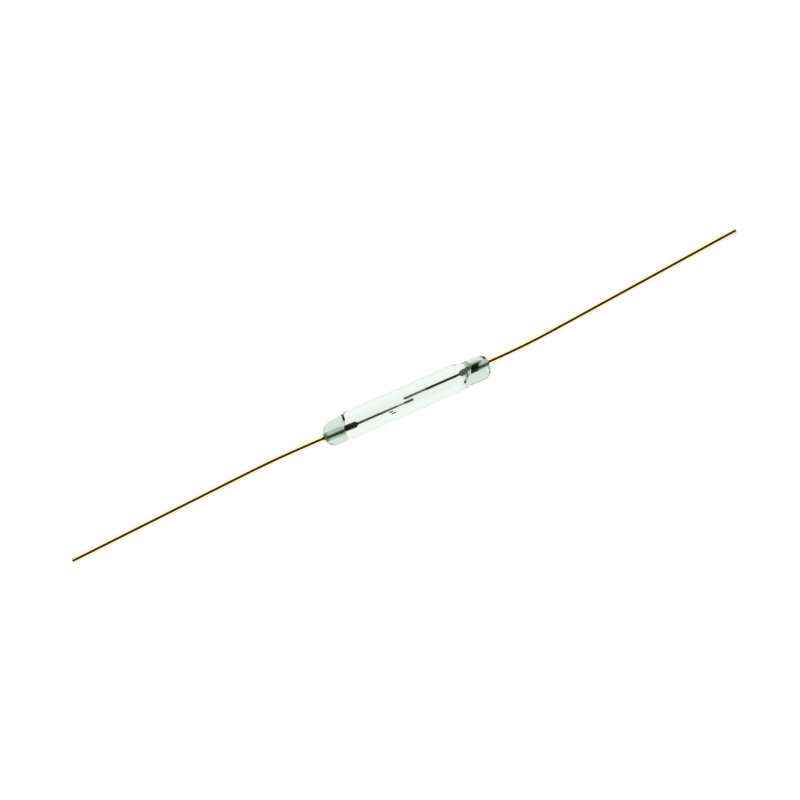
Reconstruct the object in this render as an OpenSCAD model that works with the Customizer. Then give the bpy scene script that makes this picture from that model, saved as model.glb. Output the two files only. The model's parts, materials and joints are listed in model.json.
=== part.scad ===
// Glass reed switch, normally open, in millimetres.
// A glass tube is melted shut around two reeds. Each reed is a round wire whose inner end is rolled flat,
// and the two flat blades overlap at the middle with a small contact gap.
// The origin is the centre of the glass on the tube's axis. X runs along the tube to the right,
// the blades close along Y, and their width lies along Z.

/* [Glass tube] */
// Length of the glass from end to end
glass_l = 14; // [13.4:0.1:30]
// Outer diameter of the tube between its shoulders
glass_d = 2.2; // [2:0.05:4]
// Thickness of the tube's wall
glass_wall = 0.25; // [0.15:0.01:0.4]

/* [Left seal] */
// Length of lead that the left seal grips
left_seal_l = 1.63; // [1:0.01:2.2]
// Diameter of the sealed left end
left_seal_d = 1.95; // [1.6:0.01:2.2]
// Length over which the left end rounds off towards the lead
left_end_l = 1.05; // [0.3:0.01:1.3]
// Distance from the left end to where the tube begins to narrow
left_shoulder_x = 2.56; // [1.8:0.01:4]
// Length over which the tube narrows to the left seal
left_shoulder_l = 1.1; // [0.4:0.01:1.5]
// Angle between the cavity's cone and the left lead
left_cone_angle = 63; // [30:1:75]

/* [Right seal] */
// Length of lead that the right seal grips
right_seal_l = 1.47; // [1:0.01:2.2]
// Diameter of the sealed right end
right_seal_d = 1.91; // [1.6:0.01:2.2]
// Length over which the right end rounds off towards the lead
right_end_l = 0.75; // [0.3:0.01:1.3]
// Distance from the right end to where the tube begins to narrow
right_shoulder_x = 2.91; // [1.8:0.01:4]
// Length over which the tube narrows to the right seal
right_shoulder_l = 1; // [0.4:0.01:1.5]
// Angle between the cavity's cone and the right lead
right_cone_angle = 36; // [30:1:75]

/* [Leads] */
// Diameter of the wire
lead_d = 0.5; // [0.3:0.01:0.6]
// Length of each lead outside the glass, along the wire
lead_l = 21.75; // [12:0.05:40]
// Distance from the glass to the left lead's bend
left_bend_x = 2.3; // [0.1:0.1:4]
// Angle of the left lead's bend
left_bend_angle = 3.05; // [0.5:0.05:5]
// Radius of the left lead's bend, to the wire's centre
left_bend_r = 80; // [5:1:100]
// Distance from the glass to the right lead's bend
right_bend_x = 0.3; // [0.1:0.1:4]
// Angle of the right lead's bend
right_bend_angle = 5.1; // [0.5:0.05:6]
// Radius of the right lead's bend, to the wire's centre
right_bend_r = 60; // [5:1:100]

/* [Blades] */
// Length of each flat blade
blade_l = 4.64; // [3.5:0.01:4.9]
// Width of the blade
blade_w = 1.02; // [0.6:0.01:1.1]
// Thickness of the blade
blade_t = 0.19; // [0.1:0.01:0.25]
// Gap between the blades when the switch is open
contact_gap = 0.13; // [0.05:0.01:0.2]
// Length over which the blades overlap
overlap_l = 0.69; // [0.3:0.01:1.2]
// Distance from the tube's middle to the middle of the overlap
overlap_x = 0.175; // [-0.3:0.005:0.3]
// Length over which the round wire flattens into the blade
flare_l = 0.28; // [0.1:0.01:0.4]
// Radius of the corners at the blade's tip
tip_r = 0.12; // [0.02:0.01:0.25]

/* [Hidden] */
half_l = glass_l / 2;
tube_r = glass_d / 2;
bore_r = tube_r - glass_wall;
lead_r = lead_d / 2;
// Each reed's centre line lies this far from the tube's axis
reed_y = (contact_gap + blade_t) / 2;
// Blade tips and roots, measured outward from the middle along their own reed
left_tip = -overlap_x - overlap_l / 2;
right_tip = overlap_x - overlap_l / 2;
left_root = left_tip + blade_l;
right_root = right_tip + blade_l;
// Inner ends of the seals, where the cavity's cones meet the leads
left_cone_tip = half_l - left_seal_l;
right_cone_tip = half_l - right_seal_l;
cavity_l = left_cone_tip + right_cone_tip;
// Width of glass between the lead and the rim of the small flat where it leaves the glass
exit_rim = 0.04;
exit_r = reed_y + lead_r + exit_rim;
// Length that a cutting shape runs past the face it opens
cut_over = 0.1;
// Thickness of the end slices that shape the flare
slice = 0.02;
// The wire's bend and flare are this much smaller in radius than its straight lengths, which run over them
skin = 0.002;
// Length by which a straight length of wire runs over the bend
bend_lap = 0.1;
// Points along each curve of the glass outline
curve_steps = 16;
glass_fn = 96;
wire_fn = 32;
bend_fn = 720;

// Points of a smooth step from one radius to another, each as [radius, distance along the axis]
function smooth_step(x0, r0, x1, r1) = [
    for (i = [0 : curve_steps])
        let (t = i / curve_steps)
        [r0 + (r1 - r0) * (1 - cos(180 * t)) / 2, x0 + (x1 - x0) * t]
];

// Points of an end that rounds off, as a quarter of an ellipse, from radius r to the flat around the lead
function end_round(r, end_l) = [
    for (i = [0 : curve_steps])
        let (a = 90 * i / curve_steps)
        [exit_r + (r - exit_r) * cos(a), half_l - end_l * (1 - sin(a))]
];

// Outline of one end of the glass, from the shoulder outward
function end_outline(shoulder_x, shoulder_l, seal_d, end_l) =
    let (shoulder_end = half_l - max(shoulder_x - shoulder_l, end_l))
    concat(
        smooth_step(half_l - shoulder_x, tube_r, shoulder_end, seal_d / 2),
        end_round(seal_d / 2, end_l)
    );

// The same outline on the other side of the middle, in order from the end inward
function mirrored(points) = [
    for (i = [len(points) - 1 : -1 : 0]) [points[i][0], -points[i][1]]
];

// Lays a shape that stands on Z along X, starting at x
module along_x(x) {
    translate([x, 0, 0]) rotate([0, 90, 0]) children();
}

// Turns a shape made for the right side round to the left side
module to_left() {
    rotate([0, 0, 180]) children();
}

// Flat wire's section: parallel faces with the round edges that rolling leaves
module blade_section() {
    square([blade_w - blade_t, blade_t], center = true);
    for (side = [-1, 1])
        translate([side * (blade_w - blade_t) / 2, 0]) circle(d = blade_t, $fn = wire_fn);
}

// Solid glass with both ends rounded, before it is hollowed
module glass_solid() {
    outline = concat(
        [[0, -half_l]],
        mirrored(end_outline(left_shoulder_x, left_shoulder_l, left_seal_d, left_end_l)),
        end_outline(right_shoulder_x, right_shoulder_l, right_seal_d, right_end_l),
        [[0, half_l]]
    );
    along_x(0) rotate_extrude($fn = glass_fn) polygon(outline);
}

// Cone about a right-hand lead: it opens from the lead towards the middle of the tube
module cavity_cone(cone_tip, cone_angle) {
    translate([0, reed_y, 0])
        along_x(cone_tip - cavity_l)
        cylinder(h = cavity_l, r1 = lead_r + cavity_l * tan(cone_angle), r2 = lead_r, $fn = glass_fn);
}

// Gas space: the tube's bore, closed at each end by the cone that the melted glass draws along the lead
module cavity() {
    intersection() {
        along_x(-half_l) cylinder(h = glass_l, r = bore_r, $fn = glass_fn);
        cavity_cone(right_cone_tip, right_cone_angle);
        to_left() cavity_cone(left_cone_tip, left_cone_angle);
    }
}

// Way through a right-hand seal that the lead fills
module seal_bore(cone_tip) {
    translate([0, reed_y, 0])
        along_x(cone_tip)
        cylinder(h = half_l + cut_over - cone_tip, r = lead_r, $fn = wire_fn);
}

// Right-hand lead: flare, shank through the seal, one gentle bend and the straight outer end
module lead(root, bend_x, bend_angle, bend_r) {
    bend_at = half_l + bend_x;
    shank_at = root + flare_l - slice;
    shank_l = bend_at - shank_at;
    straight_l = lead_l - bend_x - bend_r * bend_angle * PI / 180;
    translate([0, reed_y, 0]) {
        hull() {
            along_x(root) linear_extrude(slice) blade_section();
            along_x(shank_at) cylinder(h = slice, r = lead_r - skin, $fn = wire_fn);
        }
        along_x(shank_at) cylinder(h = shank_l + bend_lap, r = lead_r, $fn = wire_fn);
        translate([bend_at, bend_r, 0])
            rotate([0, 0, -90])
            rotate_extrude(angle = bend_angle, $fn = bend_fn)
            translate([bend_r, 0]) circle(r = lead_r - skin, $fn = wire_fn);
        translate([bend_at + bend_r * sin(bend_angle), bend_r * (1 - cos(bend_angle)), 0])
            rotate([0, 0, bend_angle])
            along_x(-bend_lap) cylinder(h = straight_l + bend_lap, r = lead_r, $fn = wire_fn);
    }
}

// Plan of a blade with rounded corners at its tip, from the tip at the origin outward
module blade_plan() {
    translate([tip_r, -blade_w / 2]) square([blade_l - tip_r, blade_w]);
    translate([0, tip_r - blade_w / 2]) square([blade_l, blade_w - 2 * tip_r]);
    for (side = [-1, 1])
        translate([tip_r, side * (blade_w / 2 - tip_r)]) circle(r = tip_r, $fn = wire_fn);
}

// Right-hand blade, from its tip to its root
module blade(tip) {
    translate([tip, reed_y, 0])
        intersection() {
            along_x(0) linear_extrude(blade_l) blade_section();
            rotate([90, 0, 0]) linear_extrude(blade_t, center = true) blade_plan();
        }
}

module glass_envelope() {
    color("honeydew", 0.35)
        difference() {
            glass_solid();
            cavity();
            seal_bore(right_cone_tip);
            to_left() seal_bore(left_cone_tip);
        }
}

module left_lead() {
    color("goldenrod") to_left() lead(left_root, left_bend_x, left_bend_angle, left_bend_r);
}

module right_lead() {
    color("goldenrod") lead(right_root, right_bend_x, right_bend_angle, right_bend_r);
}

module left_blade() {
    color("dimgray") to_left() blade(left_tip);
}

module right_blade() {
    color("dimgray") blade(right_tip);
}

glass_envelope();
left_lead();
right_lead();
left_blade();
right_blade();
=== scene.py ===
"""Glass reed switch lying on a white table, seen from straight above.

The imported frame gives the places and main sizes. Finer meshes of the glass, the two leads and the two
blades replace its plain solids, and each gets the finish of its real material. Lengths in the classes
are millimetres, and MM turns them to metres.
"""
import json
import logging
import math
from dataclasses import dataclass, field
from enum import Enum
from typing import Any, Callable, Iterable, NamedTuple, Sequence

import bpy
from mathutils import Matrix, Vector


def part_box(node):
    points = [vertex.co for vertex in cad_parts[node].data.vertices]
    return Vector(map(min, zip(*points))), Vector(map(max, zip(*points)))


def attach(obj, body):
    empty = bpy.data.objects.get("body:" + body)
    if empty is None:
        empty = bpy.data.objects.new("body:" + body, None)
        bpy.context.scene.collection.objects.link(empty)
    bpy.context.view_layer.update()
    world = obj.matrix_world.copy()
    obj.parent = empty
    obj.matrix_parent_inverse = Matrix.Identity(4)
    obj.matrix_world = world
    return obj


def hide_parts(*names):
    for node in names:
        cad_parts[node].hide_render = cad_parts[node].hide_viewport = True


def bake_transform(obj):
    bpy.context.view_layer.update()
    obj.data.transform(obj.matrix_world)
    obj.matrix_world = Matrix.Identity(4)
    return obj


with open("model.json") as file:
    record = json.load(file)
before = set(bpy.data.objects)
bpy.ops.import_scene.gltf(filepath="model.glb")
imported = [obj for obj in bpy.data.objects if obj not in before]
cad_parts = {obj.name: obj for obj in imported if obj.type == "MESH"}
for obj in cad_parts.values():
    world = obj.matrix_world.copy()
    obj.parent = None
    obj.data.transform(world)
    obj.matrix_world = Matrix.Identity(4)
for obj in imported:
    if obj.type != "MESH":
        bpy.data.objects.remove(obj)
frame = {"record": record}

MM = 0.001
LOG = logging.getLogger("reed_switch")
Point = tuple[float, float, float]
Ring = list[Point]


class Side(Enum):
    """The end of the tube that a reed comes from. The value turns right-hand places round to that end."""

    RIGHT = 1
    LEFT = -1

    def place(self, x: float, y: float, z: float) -> Point:
        """Turns a right-hand point half a turn about Z if this is the left side."""
        return (self.value * x, self.value * y, z)

    def name_of(self, piece: str) -> str:
        """Gives the name of this side's node or body."""
        return f"{self.name.lower()}_{piece}"


def linear(hex_colour: str) -> tuple[float, float, float, float]:
    """Turns an sRGB hex colour into the linear colour that shaders take.

    Args:
        hex_colour: Six hex digits after a hash sign.

    Returns:
        Linear red, green and blue, and an alpha of 1.
    """
    channels = [int(hex_colour[i:i + 2], 16) / 255 for i in (1, 3, 5)]
    lin = [c / 12.92 if c <= 0.04045 else ((c + 0.055) / 1.055) ** 2.4 for c in channels]
    return (lin[0], lin[1], lin[2], 1.0)


def add_node(
    tree: bpy.types.NodeTree,
    kind: str,
    values: dict[Any, Any] | None = None,
    links: dict[Any, bpy.types.NodeSocket] | None = None,
    **settings: Any,
) -> bpy.types.Node:
    """Adds one node to a tree.

    Args:
        tree: Tree that takes the node.
        kind: Blender's name of the node type.
        values: Constants for its input sockets, by socket name or index.
        links: Output sockets to link to its inputs, by socket name or index.
        **settings: Properties of the node itself.

    Returns:
        The new node.
    """
    node = tree.nodes.new(kind)
    for key, value in settings.items():
        setattr(node, key, value)
    for key, value in (values or {}).items():
        node.inputs[key].default_value = value
    for key, socket in (links or {}).items():
        tree.links.new(socket, node.inputs[key])
    return node


def smooth(t: float) -> float:
    """Eases a share from 0 to 1."""
    t = min(1.0, max(0.0, t))
    return t * t * (3 - 2 * t)


def span(start: float, end: float, steps: int) -> list[float]:
    """Lists evenly spaced values from start to end, both included."""
    return [start + (end - start) * i / steps for i in range(steps + 1)]


def soft_min(a: float, b: float, corner_r: float) -> float:
    """Gives the smaller of two radii, rounded where they meet as melted glass is."""
    gap = max(corner_r - abs(a - b), 0.0) / corner_r
    return min(a, b) - gap * gap * corner_r / 4


@dataclass
class Draft:
    """Points and faces of one piece while it is drawn.

    Attributes:
        points: Corner points in metres.
        faces: Corner numbers of each face.
        zones: Material slot of each face.
    """

    points: list[Point] = field(default_factory=list)
    faces: list[tuple[int, ...]] = field(default_factory=list)
    zones: list[int] = field(default_factory=list)

    def add_loft(self, rings: Sequence[Ring], inward: bool = False,
                 zone_of: Callable[[Point], int] = lambda middle: 0) -> None:
        """Bridges rings of equal count into a closed skin with a cap at each end.

        Args:
            rings: Rings in order along X, each turning from Y to Z, in millimetres.
            inward: Whether the skin faces inward, as a cavity's does.
            zone_of: Gives a face's material slot from its middle point.
        """
        count, first = len(rings[0]), len(self.points)
        new_faces: list[tuple[int, ...]] = [tuple(range(first + count - 1, first - 1, -1))]
        zones = [zone_of(rings[0][0])]
        for i in range(len(rings) - 1):
            row = first + i * count
            for j in range(count):
                k = (j + 1) % count
                new_faces.append((row + j, row + k, row + count + k, row + count + j))
                x, y, z = ((a + b) / 2 for a, b in zip(rings[i][j], rings[i + 1][k]))
                zones.append(zone_of((x, y, z)))
        last = first + (len(rings) - 1) * count
        new_faces.append(tuple(range(last, last + count)))
        zones.append(zone_of(rings[-1][0]))
        self.points += [(x * MM, y * MM, z * MM) for ring in rings for x, y, z in ring]
        self.faces += [face[::-1] for face in new_faces] if inward else new_faces
        self.zones += zones

    def to_object(self, name: str, sharp_deg: float = 40.0) -> bpy.types.Object:
        """Makes the scene object, smooth except where faces meet at a sharp angle.

        Args:
            name: Name of the piece.
            sharp_deg: Angle between faces from which an edge stays sharp.

        Returns:
            The new object, linked to the scene.
        """
        mesh = bpy.data.meshes.new(name)
        mesh.from_pydata(self.points, [], self.faces)
        mesh.polygons.foreach_set("material_index", self.zones)
        mesh.shade_smooth()
        mesh.set_sharp_from_angle(angle=math.radians(sharp_deg))
        mesh.update()
        piece = bpy.data.objects.new(name, mesh)
        bpy.context.scene.collection.objects.link(piece)
        return piece


class Finish:
    """A material made of nodes: what every finish shares."""

    title = "finish"

    def start(self) -> tuple[bpy.types.Material, bpy.types.NodeTree, bpy.types.Node]:
        """Starts an empty node material.

        Returns:
            The material, its tree and its output node.
        """
        material = bpy.data.materials.new(self.title)
        material.use_nodes = True
        material.node_tree.nodes.clear()
        output = add_node(material.node_tree, "ShaderNodeOutputMaterial")
        return material, material.node_tree, output

    def grain(self, tree: bpy.types.NodeTree, size_mm: Point, detail: float = 3.0) -> bpy.types.Node:
        """Adds a noise whose cells have a real size along each axis.

        Args:
            tree: Tree that takes the nodes.
            size_mm: Size of a cell along X, Y and Z.
            detail: Octaves of finer noise.

        Returns:
            The noise node.
        """
        place = add_node(tree, "ShaderNodeTexCoord")
        scale = tuple(1 / (size * MM) for size in size_mm)
        scaled = add_node(tree, "ShaderNodeMapping", {"Scale": scale}, {"Vector": place.outputs["Object"]})
        return add_node(tree, "ShaderNodeTexNoise", {"Scale": 1.0, "Detail": detail},
                        {"Vector": scaled.outputs["Vector"]})


@dataclass(frozen=True)
class SealingGlass(Finish):
    """Drawn sealing glass, flame-polished at the ends: almost colourless in the wall, green in solid ends.

    The glass takes a little more red and blue than green away, so its colour grows with its depth. The thin
    wall looks almost clear and the melted ends a pale bottle green. Faint draw lines run along the tube.
    The real lines are finer, and here they are coarse enough to show.

    Attributes:
        surface: Tint of the light that passes the surface.
        depth: Colour that the light keeps on its way through the glass.
        density_per_mm: How fast the light takes on that colour.
        mirror: Grey that says how strong the mirror image on the glass is.
        ior: Index of refraction.
        line_mm: Distance between draw lines.
        line_length_mm: Length of a draw line.
        line_height_mm: Height of a draw line.
    """

    title = "drawn_sealing_glass"
    surface: str = "#FEFFFE"
    depth: str = "#D6E5DC"
    density_per_mm: float = 0.65
    mirror: str = "#A8A8A8"
    ior: float = 1.47
    line_mm: float = 0.16
    line_length_mm: float = 6.0
    line_height_mm: float = 0.0003

    def material(self) -> bpy.types.Material:
        """Builds the node material."""
        material, tree, output = self.start()
        lines = self.grain(tree, (self.line_length_mm, self.line_mm, self.line_mm), detail=1.0)
        bump = add_node(tree, "ShaderNodeBump", {"Distance": self.line_height_mm * MM},
                        {"Height": lines.outputs["Fac"]})
        glass = add_node(
            tree, "ShaderNodeBsdfPrincipled",
            {"Base Color": linear(self.surface), "Roughness": 0.0, "IOR": self.ior,
             "Transmission Weight": 1.0, "Specular Tint": linear(self.mirror)},
            {"Normal": bump.outputs["Normal"]},
        )
        depth = add_node(tree, "ShaderNodeVolumeAbsorption",
                         {"Color": linear(self.depth), "Density": self.density_per_mm / MM})
        tree.links.new(glass.outputs["BSDF"], output.inputs["Surface"])
        tree.links.new(depth.outputs["Volume"], output.inputs["Volume"])
        return material


@dataclass(frozen=True)
class FrostedGlass(Finish):
    """The same glass where it drew out along the wire: a soft grey-green haze with no clear mirror image.

    Attributes:
        clear: Tint of the clearest places.
        haze: Tint of the haziest places.
        ior: Index of refraction.
        roughness: How far it blurs what lies behind.
        patch_mm: Size of a hazy patch.
    """

    title = "frosted_sealing_glass"
    clear: str = "#EAF2EC"
    haze: str = "#C3D1C8"
    ior: float = 1.47
    roughness: float = 0.3
    patch_mm: float = 0.25

    def material(self) -> bpy.types.Material:
        """Builds the node material."""
        material, tree, output = self.start()
        patches = self.grain(tree, (self.patch_mm, self.patch_mm, self.patch_mm))
        colour = add_node(
            tree, "ShaderNodeMix", {6: linear(self.clear), 7: linear(self.haze)},
            {0: patches.outputs["Fac"]}, data_type="RGBA",
        )
        glass = add_node(
            tree, "ShaderNodeBsdfPrincipled",
            {"Roughness": self.roughness, "IOR": self.ior, "Transmission Weight": 1.0},
            {"Base Color": colour.outputs[2]},
        )
        tree.links.new(glass.outputs["BSDF"], output.inputs["Surface"])
        return material


@dataclass(frozen=True)
class GoldPlatedWire(Finish):
    """Drawn wire with a thin bright gold plating: a clear mirror with fine lines along the wire.

    The plating follows the die marks of the drawn wire, so its reflections streak a little lengthwise.
    The real marks are a few microns apart, and here they are coarse enough to show.

    Attributes:
        thick_gold: Colour where the plating is thickest.
        thin_gold: Colour where it is thinnest.
        patch_mm: Size along X, Y and Z of a place with thicker or thinner plating.
        roughness: Roughness of the smoothest and of the roughest places.
        mark_mm: Distance between die marks.
        mark_length_mm: Length of a die mark.
        mark_height_mm: Height of a die mark.
    """

    title = "gold_plated_drawn_wire"
    thick_gold: str = "#FFEFCB"
    thin_gold: str = "#FCE5B6"
    patch_mm: Point = (1.6, 0.5, 0.5)
    roughness: tuple[float, float] = (0.088, 0.143)
    mark_mm: float = 0.09
    mark_length_mm: float = 3.0
    mark_height_mm: float = 0.0012

    def material(self) -> bpy.types.Material:
        """Builds the node material."""
        material, tree, output = self.start()
        marks = self.grain(tree, (self.mark_length_mm, self.mark_mm, self.mark_mm))
        patches = self.grain(tree, self.patch_mm)
        colour = add_node(
            tree, "ShaderNodeMix",
            {6: linear(self.thin_gold), 7: linear(self.thick_gold)},
            {0: patches.outputs["Fac"]}, data_type="RGBA",
        )
        rough = add_node(
            tree, "ShaderNodeMapRange", {"To Min": self.roughness[0], "To Max": self.roughness[1]},
            {"Value": marks.outputs["Fac"]},
        )
        bump = add_node(tree, "ShaderNodeBump", {"Distance": self.mark_height_mm * MM},
                        {"Height": marks.outputs["Fac"]})
        metal = add_node(
            tree, "ShaderNodeBsdfPrincipled", {"Metallic": 1.0},
            {"Base Color": colour.outputs[2], "Roughness": rough.outputs["Result"],
             "Normal": bump.outputs["Normal"]},
        )
        tree.links.new(metal.outputs["BSDF"], output.inputs["Surface"])
        return material


@dataclass(frozen=True)
class OxidisedWire(Finish):
    """Nickel-iron wire with the thin oxide that hot glass leaves: dull and mottled, dark olive to black.

    Attributes:
        dark: Colour of the darkest mottles.
        light: Colour of the lightest mottles.
        roughness: Roughness of the smoothest and of the roughest places.
        ior: Index of refraction of the oxide's surface.
        mottle_mm: Size of a mottle across the wire, half of its length along it.
    """

    dark: str
    light: str
    title = "oxidised_nickel_iron_wire"
    roughness: tuple[float, float] = (0.36, 0.63)
    ior: float = 1.5
    mottle_mm: float = 0.22

    def material(self) -> bpy.types.Material:
        """Builds the node material."""
        material, tree, output = self.start()
        mottle = self.grain(tree, (self.mottle_mm * 2, self.mottle_mm, self.mottle_mm))
        colour = add_node(
            tree, "ShaderNodeMix", {6: linear(self.dark), 7: linear(self.light)},
            {0: mottle.outputs["Fac"]}, data_type="RGBA",
        )
        rough = add_node(
            tree, "ShaderNodeMapRange", {"To Min": self.roughness[0], "To Max": self.roughness[1]},
            {"Value": mottle.outputs["Fac"]},
        )
        oxide = add_node(
            tree, "ShaderNodeBsdfPrincipled", {"IOR": self.ior},
            {"Base Color": colour.outputs[2], "Roughness": rough.outputs["Result"]},
        )
        tree.links.new(oxide.outputs["BSDF"], output.inputs["Surface"])
        return material


@dataclass(frozen=True)
class BondedWire(Finish):
    """Wire wetted by the glass: a matt grey-green bond with a painted reflection of the dark ceiling along
    it, and a stain at one end.

    Attributes:
        wire_y_mm: Y of the wire's centre line.
        band_y_mm: Y of the middle line of the painted reflection.
        stain: Colour of the stain.
        stain_x_mm: X up to which the stain is full, and X from which only the bond and its painted
            reflection are left.
        stain_y_mm: Y below which the stain lies.
        glass_x_mm: X on the wire's centre line where the glass begins, if some of this wire is bare.
        slant: Length by which these places move along X for each length of Y from the wire's centre line.
        bare: Colour of the wire before the glass begins.
        bond: Colour of the bond.
        painted_dark_core: Colour of the painted reflection, the dark ceiling that the wire would mirror.
        band_w_mm: Half width of the painted reflection.
        band_fade_mm: Width over which the painted reflection fades into the bond.
        ragged_mm: Distance by which the mottles move the painted reflection's edge.
        stain_fade_mm: Width over which the stain's edge along the wire fades.
        glass_fade_mm: Length over which the glass begins.
        roughness: Roughness of the bond.
        ior: Index of refraction of the bond's surface.
        mottle_mm: Size of a mottle across the wire, a third of its length along it.
    """

    wire_y_mm: float
    band_y_mm: float
    stain: str
    stain_x_mm: tuple[float, float]
    stain_y_mm: float
    glass_x_mm: float | None = None
    slant: float = 0.0
    title = "glass_bonded_nickel_iron_wire"
    bare: str = "#525842"
    bond: str = "#DCE6D8"
    painted_dark_core: str = "#283224"
    band_w_mm: float = 0.05
    band_fade_mm: float = 0.15
    ragged_mm: float = 0.06
    stain_fade_mm: float = 0.1
    glass_fade_mm: float = 0.06
    roughness: float = 0.5
    ior: float = 1.5
    mottle_mm: float = 0.15

    def material(self) -> bpy.types.Material:
        """Builds the node material."""
        material, tree, output = self.start()
        mottle = self.grain(tree, (self.mottle_mm * 3, self.mottle_mm, self.mottle_mm))
        place = add_node(tree, "ShaderNodeTexCoord")
        across = add_node(tree, "ShaderNodeSeparateXYZ", None, {0: place.outputs["Object"]})
        off = add_node(tree, "ShaderNodeMath", {1: self.band_y_mm * MM}, {0: across.outputs["Y"]},
                       operation="SUBTRACT")
        away = add_node(tree, "ShaderNodeMath", None, {0: off.outputs[0]}, operation="ABSOLUTE")
        ragged = add_node(
            tree, "ShaderNodeMath", {1: self.ragged_mm * MM},
            {0: mottle.outputs["Fac"], 2: away.outputs[0]}, operation="MULTIPLY_ADD",
        )
        clear = add_node(
            tree, "ShaderNodeMapRange",
            {"From Min": self.band_w_mm * MM, "From Max": (self.band_w_mm + self.band_fade_mm) * MM},
            {"Value": ragged.outputs[0]}, interpolation_type="SMOOTHSTEP",
        )
        # Painted reflection: a dark line along the wire stands in for the dark ceiling that a shiny wire
        # would mirror
        with_painted_core = add_node(
            tree, "ShaderNodeMix", {6: linear(self.painted_dark_core), 7: linear(self.bond)},
            {0: clear.outputs["Result"]}, data_type="RGBA",
        )
        full, gone = (x * MM for x in self.stain_x_mm)
        aside = add_node(tree, "ShaderNodeMath", {1: -self.slant, 2: self.slant * self.wire_y_mm * MM},
                         {0: across.outputs["Y"]}, operation="MULTIPLY_ADD")
        along = add_node(tree, "ShaderNodeMath", None, {0: across.outputs["X"], 1: aside.outputs[0]})
        past = add_node(
            tree, "ShaderNodeMapRange", {"From Min": full, "From Max": gone},
            {"Value": along.outputs[0]}, interpolation_type="SMOOTHSTEP",
        )
        low, high = ((self.stain_y_mm + half * self.stain_fade_mm) * MM for half in (-0.5, 0.5))
        over = add_node(
            tree, "ShaderNodeMapRange", {"From Min": low, "From Max": high},
            {"Value": across.outputs["Y"]}, interpolation_type="SMOOTHSTEP",
        )
        free = add_node(tree, "ShaderNodeMath", None,
                        {0: past.outputs["Result"], 1: over.outputs["Result"]}, operation="MAXIMUM")
        colour = add_node(
            tree, "ShaderNodeMix", {6: linear(self.stain)},
            {0: free.outputs[0], 7: with_painted_core.outputs[2]}, data_type="RGBA",
        )
        if self.glass_x_mm is not None:
            low, high = ((self.glass_x_mm + half * self.glass_fade_mm) * MM for half in (-0.5, 0.5))
            begun = add_node(
                tree, "ShaderNodeMapRange", {"From Min": low, "From Max": high},
                {"Value": along.outputs[0]}, interpolation_type="SMOOTHSTEP",
            )
            colour = add_node(
                tree, "ShaderNodeMix", {6: linear(self.bare)},
                {0: begun.outputs["Result"], 7: colour.outputs[2]}, data_type="RGBA",
            )
        wire = add_node(
            tree, "ShaderNodeBsdfPrincipled", {"IOR": self.ior, "Roughness": self.roughness},
            {"Base Color": colour.outputs[2]},
        )
        tree.links.new(wire.outputs["BSDF"], output.inputs["Surface"])
        return material


@dataclass(frozen=True)
class BladeImagePaint(Finish):
    """Painted image of the left blade in the glass: thin matt dark grey, a little patchy.

    Attributes:
        full: Colour of the darkest patches.
        paler: Colour of the palest patches.
        roughness: Roughness of the dark paint.
        ior: Index of refraction of its surface.
        patch_mm: Size of a patch.
    """

    title = "fired_marking_ink"
    full: str = "#2A2F2C"
    paler: str = "#5A605C"
    roughness: float = 0.6
    ior: float = 1.45
    patch_mm: float = 0.08

    def material(self) -> bpy.types.Material:
        """Builds the node material."""
        material, tree, output = self.start()
        patches = self.grain(tree, (self.patch_mm, self.patch_mm, self.patch_mm))
        colour = add_node(
            tree, "ShaderNodeMix", {6: linear(self.full), 7: linear(self.paler)},
            {0: patches.outputs["Fac"]}, data_type="RGBA",
        )
        ink = add_node(
            tree, "ShaderNodeBsdfPrincipled", {"Roughness": self.roughness, "IOR": self.ior},
            {"Base Color": colour.outputs[2]},
        )
        tree.links.new(ink.outputs["BSDF"], output.inputs["Surface"])
        return material


@dataclass(frozen=True)
class Coat:
    """One plated layer at a blade's tip.

    Attributes:
        length_mm: Length that it covers, from the tip.
        fade_mm: Length over which its inner edge thins out.
        colour: Its colour.
    """

    length_mm: float
    fade_mm: float
    colour: str


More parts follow.
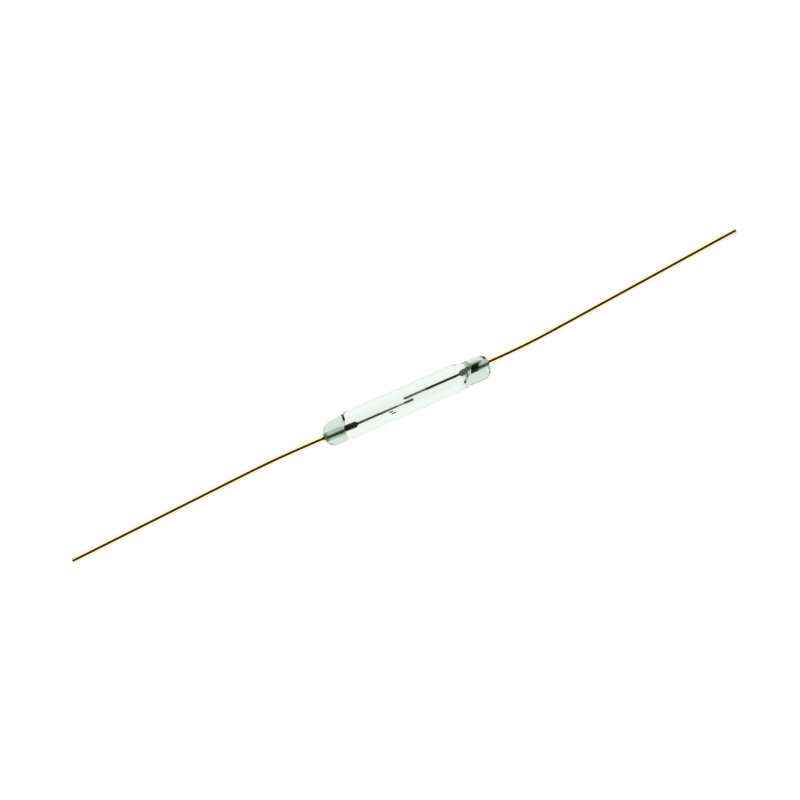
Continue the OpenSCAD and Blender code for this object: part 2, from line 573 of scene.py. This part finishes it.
@dataclass(frozen=True)
class RolledReedAlloy(Finish):
    """Rolled nickel-iron strip: satin dark grey with rolling lines lengthwise, and a plated tip.

    A pale undercoat covers the last part of the blade, and the hard contact layer lies over it at the tip.

    Attributes:
        tip_x_mm: Place of the blade's tip along X.
        side: Direction from the tip to the root along X, 1 or -1.
        strip: Colour of the bare strip.
        coats: Plated layers, from the undercoat up. A near-white layer is partly a painted highlight.
        roughness: Roughness of the smoothest and of the roughest places.
        line_mm: Distance between rolling lines.
        line_length_mm: Length of a rolling line.
        line_height_mm: Height of a rolling line, more than the real one so that it shows.
    """

    tip_x_mm: float
    side: int
    strip: str
    coats: tuple[Coat, ...]
    title = "rolled_nickel_iron"
    roughness: tuple[float, float] = (0.256, 0.416)
    line_mm: float = 0.06
    line_length_mm: float = 1.2
    line_height_mm: float = 0.001

    def material(self) -> bpy.types.Material:
        """Builds the node material."""
        material, tree, output = self.start()
        lines = self.grain(tree, (self.line_length_mm, self.line_mm, self.line_mm))
        place = add_node(tree, "ShaderNodeTexCoord")
        along = add_node(tree, "ShaderNodeSeparateXYZ", None, {0: place.outputs["Object"]})
        colour = add_node(tree, "ShaderNodeRGB").outputs[0]
        colour.default_value = linear(self.strip)
        for coat in self.coats:
            bare, full = (
                (self.tip_x_mm + self.side * length) * MM
                for length in (coat.length_mm, coat.length_mm - coat.fade_mm)
            )
            coated = add_node(
                tree, "ShaderNodeMapRange", {"From Min": bare, "From Max": full},
                {"Value": along.outputs["X"]}, interpolation_type="SMOOTHSTEP",
            )
            colour = add_node(
                tree, "ShaderNodeMix", {7: linear(coat.colour)},
                {0: coated.outputs["Result"], 6: colour}, data_type="RGBA",
            ).outputs[2]
        rough = add_node(
            tree, "ShaderNodeMapRange", {"To Min": self.roughness[0], "To Max": self.roughness[1]},
            {"Value": lines.outputs["Fac"]},
        )
        bump = add_node(tree, "ShaderNodeBump", {"Distance": self.line_height_mm * MM},
                        {"Height": lines.outputs["Fac"]})
        metal = add_node(
            tree, "ShaderNodeBsdfPrincipled", {"Metallic": 1.0},
            {"Base Color": colour, "Roughness": rough.outputs["Result"],
             "Normal": bump.outputs["Normal"]},
        )
        tree.links.new(metal.outputs["BSDF"], output.inputs["Surface"])
        return material


@dataclass(frozen=True)
class WhitePaper(Finish):
    """Matt white table paper: white to the eye, in mirrors and through glass, with a soft shadow on it.

    Attributes:
        colour: Colour of the darkest fibres.
        fibre_mm: Size of a tuft of fibres.
        shadow_share: Share of the paper's look that the lamps and the shadow make.
        under_glass: Brightness of the paper through the glass, where 1 is white.
    """

    title = "matt_white_paper"
    colour: str = "#F7F7F5"
    fibre_mm: float = 0.8
    shadow_share: float = 0.07
    under_glass: float = 1.03

    def material(self) -> bpy.types.Material:
        """Builds the node material."""
        material, tree, output = self.start()
        fibres = self.grain(tree, (self.fibre_mm, self.fibre_mm, self.fibre_mm))
        tone = add_node(
            tree, "ShaderNodeMix", {6: linear(self.colour), 7: linear("#FFFFFF")},
            {0: fibres.outputs["Fac"]}, data_type="RGBA",
        )
        paper = add_node(tree, "ShaderNodeBsdfDiffuse", None, {"Color": tone.outputs[2]})
        # A tube gathers light on the paper below it, which shows through the glass
        rays = add_node(tree, "ShaderNodeLightPath")
        gathered = add_node(tree, "ShaderNodeMix", {2: 1.0, 3: self.under_glass},
                            {0: rays.outputs["Is Transmission Ray"]})
        white = add_node(tree, "ShaderNodeEmission", {"Color": (1, 1, 1, 1)},
                         {"Strength": gathered.outputs[0]})
        seen = seen_rays(tree)
        share = add_node(tree, "ShaderNodeMath", {1: 1 - self.shadow_share}, {0: seen},
                         operation="MULTIPLY")
        mixed = add_node(tree, "ShaderNodeMixShader", None,
                         {0: share.outputs[0], 1: paper.outputs[0], 2: white.outputs[0]})
        tree.links.new(mixed.outputs[0], output.inputs["Surface"])
        return material


def seen_rays(tree: bpy.types.NodeTree) -> bpy.types.NodeSocket:
    """Adds nodes that tell the rays that show a background from those that light the object.

    Args:
        tree: Tree that takes the nodes.

    Returns:
        A socket that is 1 for camera, mirror and glass rays, and 0 for the others.
    """
    path = add_node(tree, "ShaderNodeLightPath")
    mirror = add_node(
        tree, "ShaderNodeMath", None,
        {0: path.outputs["Is Camera Ray"], 1: path.outputs["Is Glossy Ray"]}, operation="MAXIMUM",
    )
    glass = add_node(
        tree, "ShaderNodeMath", None,
        {0: mirror.outputs[0], 1: path.outputs["Is Transmission Ray"]}, operation="MAXIMUM",
    )
    return glass.outputs[0]


@dataclass
class Seal:
    """One melted end of the tube, as a right-hand end, in millimetres.

    Attributes:
        grip_l: Length of lead that the seal grips.
        radius: Radius of the sealed end.
        end_l: Length over which the end rounds off towards the lead.
        shoulder_x: Distance from the end to where the tube begins to narrow.
        shoulder_l: Length over which the tube narrows.
        cone_deg: Angle between the gas space's cone and the lead, on the side across the tube's axis.
        near_cone_deg: The same angle on the lead's own side of the axis.
        edge_cone_deg: The same angle along Z, in line with the blade's edges.
        corner_r: Rounding between the cone and the bore.
        shift: Distance of the melted end from the tube's axis, towards its own lead.
        slant: Length by which the glass begins further out on the lead's own side than along Z.
        crest: Distance of the upper surface's highest line from the middle, towards its own lead.
        flat: Share of its height that the end has lost where it meets the lead.
    """

    grip_l: float
    radius: float
    end_l: float
    shoulder_x: float
    shoulder_l: float
    cone_deg: float
    near_cone_deg: float
    edge_cone_deg: float
    corner_r: float
    shift: float
    slant: float = 0.0
    crest: float = 0.0
    flat: float = 0.0


class Station(NamedTuple):
    """One ring of the outer skin, as a right-hand one, in millimetres.

    Attributes:
        x: Place along the tube.
        y: Middle of the ring.
        wide: Radius along Y.
        tall: Radius along Z.
        crest: Distance by which the top is moved aside.
    """

    x: float
    y: float
    wide: float
    tall: float
    crest: float


@dataclass
class GlassTube:
    """The glass: a drawn tube melted shut around both leads.

    Attributes:
        half_l: Half of the tube's length.
        tube_r: Outer radius.
        wall: Wall thickness.
        lead_r: Radius of the wires.
        reed_y: Distance of each reed from the tube's axis.
        seals: The melted end on each side.
        frost_r: Distance from the axis within which the right-hand cone is frosted.
        shift_share: Length over which an end moves off the axis, as a share of its shoulder's length.
        edge_power: How closely a cone's angle along Z keeps to that direction.
        rim_share: Radius of the outer skin's last ring, hidden in the lead, as a share of the lead's.
        tip_share: How far a cone's end narrows inside the lead, as a share of the lead's radius.
        least_share: Least radius of a cone, hidden in the lead, as a share of the lead's.
        cone_zone: Length at each end of the gas space where its rings lie close together.
        around: Points on each ring.
        shoulder_steps: Rings along a shoulder.
        end_steps: Rings along an end that rounds off.
        cone_steps: Rings along a cone's zone.
        bore_steps: Rings along the bore between them.
    """

    half_l: float
    tube_r: float
    wall: float
    lead_r: float
    reed_y: float
    seals: dict[Side, Seal]
    frost_r: float = 0.62
    shift_share: float = 1.4
    edge_power: int = 8
    rim_share: float = 0.6
    tip_share: float = 0.2
    least_share: float = 0.3
    cone_zone: float = 2.4
    around: int = 128
    shoulder_steps: int = 40
    end_steps: int = 28
    cone_steps: int = 110
    bore_steps: int = 40

    def end_stations(self, seal: Seal) -> list[Station]:
        """Draws one end's outline from the shoulder outward, as a right-hand end.

        Args:
            seal: The melted end.

        Returns:
            The rings' stations.
        """
        start = self.half_l - seal.shoulder_x
        stations = []
        for t in span(0, 1, self.shoulder_steps):
            drawn_in = (1 - math.cos(math.pi * t)) / 2
            r = self.tube_r + (seal.radius - self.tube_r) * drawn_in
            shift = seal.shift * smooth(t / self.shift_share)
            stations.append(Station(start + seal.shoulder_l * t, shift, r, r, seal.crest * smooth(t)))
        for a in span(0, math.pi / 2, self.end_steps):
            x = self.half_l - seal.end_l * (1 - math.sin(a))
            shift = seal.shift * smooth((x - start) / (seal.shoulder_l * self.shift_share))
            y = self.reed_y + (shift - self.reed_y) * math.cos(a)
            r = self.lead_r + (seal.radius - self.lead_r) * math.cos(a)
            tall = r * (1 - seal.flat * smooth(math.sin(a)))
            stations.append(Station(x, y, r, tall, seal.crest * math.cos(a)))
        rim_r = self.lead_r * self.rim_share
        return stations + [Station(self.half_l, self.reed_y, rim_r, rim_r, 0.0)]

    def outer_rings(self) -> list[Ring]:
        """Draws the outer skin from the left end to the right end."""
        rings = {
            side: [self.ring(side, station) for station in self.end_stations(seal)]
            for side, seal in self.seals.items()
        }
        return rings[Side.LEFT][::-1] + rings[Side.RIGHT]

    def ring(self, side: Side, station: Station) -> Ring:
        """Draws one ring of the outer skin, with its top moved aside and its outline from above kept.

        Args:
            side: Which end of the tube it is on.
            station: The ring as a right-hand one.

        Returns:
            The ring's points.
        """
        x, y, _ = side.place(station.x, station.y, 0.0)
        ring = []
        for j in range(self.around):
            a = 2 * math.pi * j / self.around
            aside = side.value * station.crest * max(math.sin(a), 0.0) ** 2
            ring.append((x, y + station.wide * math.cos(a) + aside, station.tall * math.sin(a)))
        return ring

    def cavity_rings(self) -> list[Ring]:
        """Draws the gas space: the bore, drawn in to a cone along the lead at each end."""
        bore_r = self.tube_r - self.wall
        tips = {side: self.half_l - seal.grip_l for side, seal in self.seals.items()}
        inside = self.tip_share * self.lead_r
        ends = {side: tips[side] + seal.slant + inside / math.tan(math.radians(seal.cone_deg))
                for side, seal in self.seals.items()}
        left, right = ends[Side.LEFT], ends[Side.RIGHT]
        stations = [-x for x in span(left, left - self.cone_zone, self.cone_steps)]
        stations += span(-left + self.cone_zone, right - self.cone_zone, self.bore_steps)[1:-1]
        stations += span(right - self.cone_zone, right, self.cone_steps)
        rings = []
        for x in stations:
            t = (x + left) / (left + right)
            centre = self.reed_y * (2 * t - 1)
            ring = []
            for j in range(self.around):
                a = 2 * math.pi * j / self.around
                reach = -centre * math.cos(a) + math.sqrt(bore_r ** 2 - (centre * math.sin(a)) ** 2)
                r = min(
                    soft_min(self.cone_r(side, tips[side] - side.value * x, a), reach, seal.corner_r)
                    for side, seal in self.seals.items()
                )
                ring.append((x, centre + r * math.cos(a), r * math.sin(a)))
            rings.append(ring)
        return rings

    def cone_r(self, side: Side, depth: float, turn: float) -> float:
        """Gives the radius of a seal's cone.

        Args:
            side: Which end of the tube it closes.
            depth: Distance from the cone's tip towards the middle.
            turn: Direction about the lead, from Y.

        Returns:
            Radius about the lead's centre line.
        """
        seal = self.seals[side]
        own = side.value * math.cos(turn)
        face_deg = seal.near_cone_deg if own > 0 else seal.cone_deg
        angle = face_deg + (seal.edge_cone_deg - face_deg) * math.sin(turn) ** self.edge_power
        r = self.lead_r + (depth + seal.slant * own) * math.tan(math.radians(angle))
        return max(r, self.lead_r * self.least_share)

    def frosted(self, point: Point) -> int:
        """Gives the material slot of a place on the gas space's skin: 1 near the right-hand wire, or 0."""
        x, y, z = point
        return int(x > 0 and math.hypot(y, z) < self.frost_r)

    def build(self) -> bpy.types.Object:
        """Makes the glass mesh: the outer skin and the gas space inside it."""
        draft = Draft()
        draft.add_loft(self.outer_rings())
        draft.add_loft(self.cavity_rings(), inward=True, zone_of=self.frosted)
        return draft.to_object("glass_tube")

    def dress(self, piece: bpy.types.Object) -> None:
        """Gives the glass its finish and its place in the frame."""
        piece.data.materials.append(SealingGlass().material())
        piece.data.materials.append(FrostedGlass().material())
        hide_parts("glass_envelope")
        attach(piece, "envelope")


@dataclass
class PaintedBladeImage:
    """Two dark strokes on the tube beside the left blade: a painted image of that blade in the glass.

    Attributes:
        tube_r: Outer radius of the tube.
        strokes: Each stroke's first and last X, and its first and last Y as seen from above.
        lift: Thickness of the dark paint.
        steps: Faces across a stroke.
    """

    tube_r: float
    strokes: Sequence[tuple[float, float, float, float]] = (
        (-1.62, -1.3, -0.33, -0.43),
        (-1.5, -1.15, -0.49, -0.59),
    )
    lift: float = 0.004
    steps: int = 6

    def build(self) -> bpy.types.Object:
        """Makes the strokes as thin patches that follow the tube's curve."""
        draft = Draft()
        r = self.tube_r + self.lift
        for x0, x1, y0, y1 in self.strokes:
            first = len(draft.points)
            for x in (x0, x1):
                for y in span(y1, y0, self.steps):
                    draft.points.append((x * MM, y * MM, math.sqrt(r * r - y * y) * MM))
            for j in range(first, first + self.steps):
                draft.faces.append((j, j + self.steps + 1, j + self.steps + 2, j + 1))
                draft.zones.append(0)
        return draft.to_object("printed_mark")

    def dress(self, piece: bpy.types.Object) -> None:
        """Gives the strokes their dark paint and their place in the frame."""
        piece.data.materials.append(BladeImagePaint().material())
        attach(piece, "envelope")


@dataclass
class FlatWire:
    """Section of the flattened wire: two flat faces and the round edges that rolling leaves.

    Attributes:
        width: Full width, along Z.
        thickness: Distance between the flat faces, along Y.
        around: Points on the section.
    """

    width: float
    thickness: float
    around: int = 64

    def at(self, share: float, wire_r: float, width: float | None = None) -> list[tuple[float, float]]:
        """Draws the section between round wire and flat blade.

        Args:
            share: 0 for the flat blade, 1 for the round wire.
            wire_r: Radius of the round wire.
            width: Width of the blade here, if it differs from the full width.

        Returns:
            Pairs of Y and Z about the reed's centre line.
        """
        edge_r = self.thickness / 2
        half_flat = (width or self.width) / 2 - edge_r
        section = []
        for j in range(self.around):
            a = 2 * math.pi * j / self.around
            quarter, turn = divmod((a + math.pi / 4) / (math.pi / 2), 1)
            lean = math.pi * (turn - 0.5)
            if quarter % 4 == 0:
                flat = (edge_r, half_flat * (2 * turn - 1))
            elif quarter % 4 == 1:
                flat = (-edge_r * math.sin(lean), half_flat + edge_r * math.cos(lean))
            elif quarter % 4 == 2:
                flat = (-edge_r, half_flat * (1 - 2 * turn))
            else:
                flat = (edge_r * math.sin(lean), -half_flat - edge_r * math.cos(lean))
            round_wire = (wire_r * math.cos(a), wire_r * math.sin(a))
            section.append(tuple(f + (r - f) * share for f, r in zip(flat, round_wire)))
        return section


@dataclass
class Lead:
    """One lead: the flare at the blade, the shank in the seal, a gentle bend and the straight outer end.

    Attributes:
        side: Which end of the tube it leaves.
        wire_r: Radius of the wire.
        root: Distance from the tube's middle to the blade's root.
        reed_y: Distance of the reed from the tube's axis.
        tip: End of the wire, as a right-hand point.
        bend_rad: Angle of the bend.
        straight_l: Length of the straight outer end.
        glass_end: Half of the tube's length, where the plating stops.
        seal_end: Distance from the tube's middle to where the seal's inner end first meets the wire.
        flat: Section of the flattened wire.
        flare_l: Length over which the wire flattens.
        edge: Size of the small rounding at the cut end.
        flare_steps: Rings along the flare.
        shank_steps: Rings along each stretch of the shank.
        bend_steps: Rings along the bend.
        straight_steps: Rings along the straight outer end.
        edge_steps: Rings along the cut end's rounding.
    """

    side: Side
    wire_r: float
    root: float
    reed_y: float
    tip: tuple[float, float]
    bend_rad: float
    straight_l: float
    glass_end: float
    seal_end: float
    flat: FlatWire
    flare_l: float = 0.28
    edge: float = 0.03
    flare_steps: int = 20
    shank_steps: int = 12
    bend_steps: int = 16
    straight_steps: int = 20
    edge_steps: int = 4

    def path(self) -> list[tuple[float, float, float]]:
        """Lists the wire's centre line after the flare, as X, Y and direction."""
        to_corner = (self.tip[1] - self.reed_y) / math.sin(self.bend_rad)
        corner_x = self.tip[0] - to_corner * math.cos(self.bend_rad)
        tangent_l = to_corner - self.straight_l
        bend_r = tangent_l / math.tan(self.bend_rad / 2)
        bend_x = corner_x - tangent_l
        shank = [self.root + self.flare_l, self.seal_end, self.glass_end, bend_x]
        line = [
            (x, self.reed_y, 0.0)
            for a, b in zip(shank, shank[1:]) for x in span(a, b, self.shank_steps)
        ]
        line += [
            (bend_x + bend_r * math.sin(a), self.reed_y + bend_r * (1 - math.cos(a)), a)
            for a in span(0, self.bend_rad, self.bend_steps)[1:]
        ]
        x, y, a = line[-1]
        line += [
            (x + s * math.cos(a), y + s * math.sin(a), a)
            for s in span(0, self.straight_l - self.edge, self.straight_steps)[1:]
        ]
        return line

    def rings(self) -> list[Ring]:
        """Draws the wire's rings from the blade's root to the cut end."""
        rings = []
        for t in span(0, 1, self.flare_steps)[:-1]:
            section = self.flat.at(smooth(t), self.wire_r)
            x = self.root + self.flare_l * t
            rings.append([self.side.place(x, self.reed_y + y, z) for y, z in section])
        circle = self.flat.at(1.0, 1.0)
        line = [(x, y, a, self.wire_r) for x, y, a in self.path()]
        a = self.bend_rad
        for lean in span(0, math.pi / 2, self.edge_steps)[1:]:
            back = self.edge * (1 - math.sin(lean))
            line.append((self.tip[0] - back * math.cos(a), self.tip[1] - back * math.sin(a), a,
                         self.wire_r - self.edge * (1 - math.cos(lean))))
        for x, y, a, r in line:
            rings.append([self.side.place(x - r * cy * math.sin(a), y + r * cy * math.cos(a), r * cz)
                          for cy, cz in circle])
        return rings

    def build(self) -> bpy.types.Object:
        """Makes the lead's mesh, with its plated, glass-bonded and oxidised lengths as material slots."""
        draft = Draft()
        ends = (self.glass_end, self.seal_end)
        draft.add_loft(self.rings(), zone_of=lambda middle: sum(abs(middle[0]) < end for end in ends))
        return draft.to_object(self.side.name_of("wire_lead"))

    def dress(self, piece: bpy.types.Object, finishes: Iterable[bpy.types.Material]) -> None:
        """Gives the lead its finishes and its place in the frame.

        Args:
            piece: The lead's object.
            finishes: The plating, the bonded wire and the oxidised wire.
        """
        for finish in finishes:
            piece.data.materials.append(finish)
        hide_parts(self.side.name_of("lead"))
        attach(piece, "envelope")


@dataclass
class Blade:
    """One flat blade, from its root at the flare to its tip over the other blade.

    Attributes:
        side: Which end of the tube it comes from.
        tip: Distance from the tube's middle to the tip, outward.
        root: Distance from the tube's middle to the root, outward.
        reed_y: Distance of the reed from the tube's axis.
        flat: Section of the flattened wire.
        tip_r: Radius of the tip's corners.
        corner_steps: Rings along the tip's corners.
        length_steps: Rings along the rest of the blade.
    """

    side: Side
    tip: float
    root: float
    reed_y: float
    flat: FlatWire
    tip_r: float = 0.12
    corner_steps: int = 10
    length_steps: int = 60

    def rings(self) -> list[Ring]:
        """Draws the blade's rings from its tip to its root."""
        rings = []
        for a in span(0, math.pi / 2, self.corner_steps):
            corner = self.tip_r * (1 - math.sin(a))
            x = self.tip + self.tip_r * (1 - math.cos(a))
            section = self.flat.at(0.0, 0.0, self.flat.width - 2 * corner)
            rings.append((x, section))
        for x in span(self.tip + self.tip_r, self.root, self.length_steps)[1:]:
            rings.append((x, self.flat.at(0.0, 0.0)))
        return [[self.side.place(x, self.reed_y + y, z) for y, z in section] for x, section in rings]

    def build(self) -> bpy.types.Object:
        """Makes the blade's mesh."""
        draft = Draft()
        draft.add_loft(self.rings())
        return draft.to_object(self.side.name_of("reed_blade"))

    def dress(self, piece: bpy.types.Object, strip: str, coats: tuple[Coat, ...]) -> None:
        """Gives the blade its finish, hides the frame's plain blade and fixes the blade's place in its
        mesh.

        Args:
            piece: The blade's object.
            strip: Colour of the bare strip.
            coats: Plated layers at the tip, from the undercoat up.
        """
        finish = RolledReedAlloy(self.side.value * self.tip, self.side.value, strip, coats)
        piece.data.materials.append(finish.material())
        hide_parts(self.side.name_of("blade"))
        start, end = (Vector(self.side.place(x, self.reed_y, 0)) * MM for x in (self.root, self.tip))
        self.side.name_of("blade")
        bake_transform(piece)


@dataclass
class Studio:
    """White table, two soft boxes low on either side of the tube, and a camera straight above.

    Attributes:
        table_z: Height of the table, in metres.
        view_mm: Width of the picture at the object.
        centre_mm: Place of the object that the picture's middle shows.
        turn_deg: Turn of the camera and the room about the vertical.
        lens_mm: Focal length.
        sensor_mm: Width of the sensor.
        table_half_m: Half of the table's side.
        box_m: Length and height of a soft box.
        box_distance_m: Distance of a soft box from the tube.
        box_up_deg: Elevation of a soft box.
        upper_light: Brightness of the face of the soft box at the back, where 1 is white.
        lower_light: Brightness of the face of the soft box at the front.
        fill: Brightness of the even light from all round.
        side_light: Brightness of the room's white walls in mirrors, where 1 is white.
        inner_light: Brightness of the same walls by way of glass.
        ceiling: Colour of the dark ceiling over the table.
        ceiling_edge_deg: Elevations between which the white walls fade into the ceiling.
        end_wall: Colour of the grey walls at the room's left and right ends.
        end_wall_share: How far a direction leans to an end where the grey begins and where it is full.
    """

    table_z: float
    view_mm: float = 62.06
    centre_mm: tuple[float, float] = (-0.46, 0.195)
    turn_deg: float = -23.6
    lens_mm: float = 150.0
    sensor_mm: float = 36.0
    table_half_m: float = 1.0
    box_m: tuple[float, float] = (0.6, 0.19)
    box_distance_m: float = 0.3
    box_up_deg: float = 21.0
    upper_light: float = 1.8
    lower_light: float = 1.5
    fill: float = 1.2
    side_light: float = 1.3
    inner_light: float = 0.8
    ceiling: str = "#2A2412"
    ceiling_edge_deg: tuple[float, float] = (39.0, 49.0)
    end_wall: str = "#5A625C"
    end_wall_share: tuple[float, float] = (0.5, 0.75)

    def build_camera(self) -> None:
        """Makes the camera at the photograph's viewing angle."""
        data = bpy.data.cameras.new("camera")
        data.lens, data.sensor_width = self.lens_mm, self.sensor_mm
        data.clip_start, data.clip_end = 0.01, 10.0
        camera = bpy.data.objects.new("camera", data)
        distance = self.view_mm * self.lens_mm / self.sensor_mm
        camera.location = Vector((*self.centre_mm, distance)) * MM
        camera.rotation_euler = (0, 0, math.radians(self.turn_deg))
        bpy.context.scene.collection.objects.link(camera)
        bpy.context.scene.camera = camera

    def build_table(self) -> None:
        """Makes the white table."""
        half = self.table_half_m
        mesh = bpy.data.meshes.new("table")
        corners = [(-half, -half), (half, -half), (half, half), (-half, half)]
        mesh.from_pydata([(x, y, self.table_z) for x, y in corners], [], [(0, 1, 2, 3)])
        mesh.materials.append(WhitePaper().material())
        table = bpy.data.objects.new("table", mesh)
        bpy.context.scene.collection.objects.link(table)

    def build_lamp(self, name: str, y_side: float, radiance: float) -> None:
        """Makes one soft box beside the tube.

        Args:
            name: Name of the lamp.
            y_side: Side of the tube, 1 or -1 along Y.
            radiance: Brightness of its face, where 1 is white.
        """
        length, height = self.box_m
        data = bpy.data.lights.new(name, "AREA")
        data.shape, data.size, data.size_y = "RECTANGLE", length, height
        data.energy = radiance * length * height * math.pi
        lamp = bpy.data.objects.new(name, data)
        distance, up = self.box_distance_m, math.radians(self.box_up_deg)
        lamp.location = (0, y_side * distance * math.cos(up), distance * math.sin(up))
        lamp.rotation_euler = (-Vector(lamp.location)).to_track_quat("-Z", "Y").to_euler()
        # Mirrors and glass see the room alone, so no lamp shows as a streak in the tube
        lamp.visible_glossy = lamp.visible_transmission = False
        bpy.context.scene.collection.objects.link(lamp)

    def build_world(self) -> None:
        """Makes the room: white walls with grey ends, a dark ceiling, and even light for matt surfaces."""
        world = bpy.data.worlds.new("room")
        bpy.context.scene.world = world
        world.use_nodes = True
        tree = world.node_tree
        tree.nodes.clear()
        place = add_node(tree, "ShaderNodeTexCoord")
        height = add_node(tree, "ShaderNodeSeparateXYZ", None, {0: place.outputs["Generated"]})
        low, high = (math.sin(math.radians(a)) for a in self.ceiling_edge_deg)
        above = add_node(
            tree, "ShaderNodeMapRange", {"From Min": low, "From Max": high},
            {"Value": height.outputs["Z"]}, interpolation_type="SMOOTHSTEP",
        )
        turn = math.radians(self.turn_deg)
        across = add_node(tree, "ShaderNodeVectorMath", {1: (math.cos(turn), math.sin(turn), 0)},
                          {0: place.outputs["Generated"]}, operation="DOT_PRODUCT")
        lean = add_node(tree, "ShaderNodeMath", None, {0: across.outputs["Value"]}, operation="ABSOLUTE")
        begin, full = self.end_wall_share
        beyond = add_node(
            tree, "ShaderNodeMapRange", {"From Min": begin, "From Max": full},
            {"Value": lean.outputs[0]}, interpolation_type="SMOOTHSTEP",
        )
        rays = add_node(tree, "ShaderNodeLightPath")
        light = add_node(
            tree, "ShaderNodeMix", {2: self.side_light, 3: self.inner_light},
            {0: rays.outputs["Is Transmission Ray"]},
        )
        sides = add_node(
            tree, "ShaderNodeMix", {7: linear(self.end_wall)},
            {0: beyond.outputs["Result"], 6: light.outputs[0]}, data_type="RGBA",
        )
        wall = add_node(
            tree, "ShaderNodeMix", {7: linear(self.ceiling)},
            {0: above.outputs["Result"], 6: sides.outputs[2]}, data_type="RGBA",
        )
        plain = add_node(
            tree, "ShaderNodeMix", {7: (1, 1, 1, 1)},
            {0: rays.outputs["Is Camera Ray"], 6: wall.outputs[2]}, data_type="RGBA",
        )
        fill = add_node(tree, "ShaderNodeBackground", {"Color": (1, 1, 1, 1), "Strength": self.fill})
        shown = add_node(tree, "ShaderNodeBackground", {"Strength": 1.0}, {"Color": plain.outputs[2]})
        # Matt surfaces take the even light by way of the glass as well
        seen = add_node(tree, "ShaderNodeMath", None,
                        {0: seen_rays(tree), 1: rays.outputs["Diffuse Depth"]},
                        operation="SUBTRACT", use_clamp=True)
        mixed = add_node(tree, "ShaderNodeMixShader", None,
                         {0: seen.outputs[0], 1: fill.outputs[0], 2: shown.outputs[0]})
        add_node(tree, "ShaderNodeOutputWorld", None, {"Surface": mixed.outputs[0]})

    def build(self) -> None:
        """Makes the camera, the table, the lamps and the room."""
        bpy.context.scene.view_settings.view_transform = "Standard"
        self.build_camera()
        self.build_table()
        self.build_lamp("upper_soft_box", 1, self.upper_light)
        self.build_lamp("lower_soft_box", -1, self.lower_light)
        self.build_world()


def lead_of(blade: Blade, tube: GlassTube, mounts: dict[str, dict[str, Any]]) -> Lead:
    """Takes a lead's sizes from the frame's mounts.

    Args:
        blade: The blade on the lead's inner end.
        tube: The glass that the lead runs through.
        mounts: The record's mounts by name.

    Returns:
        The lead.
    """
    side = blade.side
    mount = mounts[side.name_of("lead")]
    tip_x, tip_y, _ = side.place(*(v / MM for v in mount["pos_m"]))
    axis_x, axis_y, _ = side.place(*mount["axis"])
    return Lead(
        side, mount["dims"]["r_mm"], blade.root, blade.reed_y, (tip_x, tip_y), math.atan2(axis_y, axis_x),
        mount["dims"]["length_mm"], tube.half_l,
        tube.half_l - tube.seals[side].grip_l - tube.seals[side].slant, blade.flat,
    )


def blade_of(side: Side) -> Blade:
    """Takes a blade's sizes from its node in the frame.

    Args:
        side: Which end of the tube it comes from.

    Returns:
        The blade.
    """
    low, high = (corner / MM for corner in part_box(side.name_of("blade")))
    tip, root = sorted((side.value * low.x, side.value * high.x))
    flat = FlatWire(high.z - low.z, high.y - low.y)
    return Blade(side, tip, root, side.value * (low.y + high.y) / 2, flat)


def main() -> None:
    """Builds the studio and every piece of the switch."""
    logging.basicConfig(level=logging.INFO, format="%(name)s: %(message)s")
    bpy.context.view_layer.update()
    mounts = {mount["name"]: mount for mount in frame["record"]["mounts"]}
    glass_low, glass_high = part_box("glass_envelope")
    Studio(table_z=glass_low.z).build()

    blades = [blade_of(side) for side in Side]
    # The frame doesn't list the seals' sizes. They follow its solids, a little uneven as melted glass is
    tube = GlassTube(
        half_l=glass_high.x / MM, tube_r=mounts["glass_body"]["dims"]["r_mm"], wall=0.25,
        lead_r=mounts["right_lead"]["dims"]["r_mm"], reed_y=blades[0].reed_y,
        seals={
            Side.LEFT: Seal(
                grip_l=1.63, radius=0.975, end_l=1.05, shoulder_x=2.56, shoulder_l=1.1,
                cone_deg=58.0, near_cone_deg=84.0, edge_cone_deg=84.0, corner_r=0.1, shift=0.1,
            ),
            Side.RIGHT: Seal(
                grip_l=1.47, radius=0.955, end_l=0.75, shoulder_x=2.91, shoulder_l=1.0,
                cone_deg=36.0, near_cone_deg=36.0, edge_cone_deg=36.0, corner_r=0.4, shift=-0.04,
                slant=0.17, crest=0.15, flat=0.3,
            ),
        },
    )
    # Painted image of the left blade in the glass, as two dark strokes on the tube
    mark = PaintedBladeImage(tube.tube_r)
    pieces = [tube.build(), mark.build()]
    tube.dress(pieces[0])
    mark.dress(pieces[1])
    plating = GoldPlatedWire().material()
    oxides = {
        Side.LEFT: OxidisedWire(dark="#0C0E0A", light="#24271F"),
        Side.RIGHT: OxidisedWire(dark="#525842", light="#767C62"),
    }
    # band_y_mm places each wire's painted reflection of the dark ceiling
    bonds = {
        Side.LEFT: BondedWire(
            wire_y_mm=-tube.reed_y, band_y_mm=-0.21,
            stain="#5E6244", stain_x_mm=(-6.75, -6.5), stain_y_mm=0.2,
        ),
        Side.RIGHT: BondedWire(
            wire_y_mm=tube.reed_y, band_y_mm=0.06,
            stain="#0E120D", stain_x_mm=(6.1, 6.3), stain_y_mm=0.37,
            glass_x_mm=tube.half_l - tube.seals[Side.RIGHT].grip_l, slant=0.7,
        ),
    }
    strips = {
        Side.LEFT: (
            "#86897D",
            # Left tip: a real plated zone, its near-white layer made this pale as a painted highlight
            (Coat(2.95, 1.1, "#BEBEB0"), Coat(1.5, 0.25, "#FAFAEA"), Coat(0.9, 0.25, "#9B9F91")),
        ),
        Side.RIGHT: ("#55574F", (Coat(2.05, 0.3, "#B6B8A8"),)),
    }
    for blade in blades:
        lead = lead_of(blade, tube, mounts)
        pieces += [blade.build(), lead.build()]
        blade.dress(pieces[-2], *strips[blade.side])
        lead.dress(pieces[-1], (plating, bonds[blade.side].material(), oxides[blade.side].material()))
    for piece in pieces:
        LOG.info("%s: %d faces", piece.name, len(piece.data.polygons))


if __name__ == "__main__":
    main()
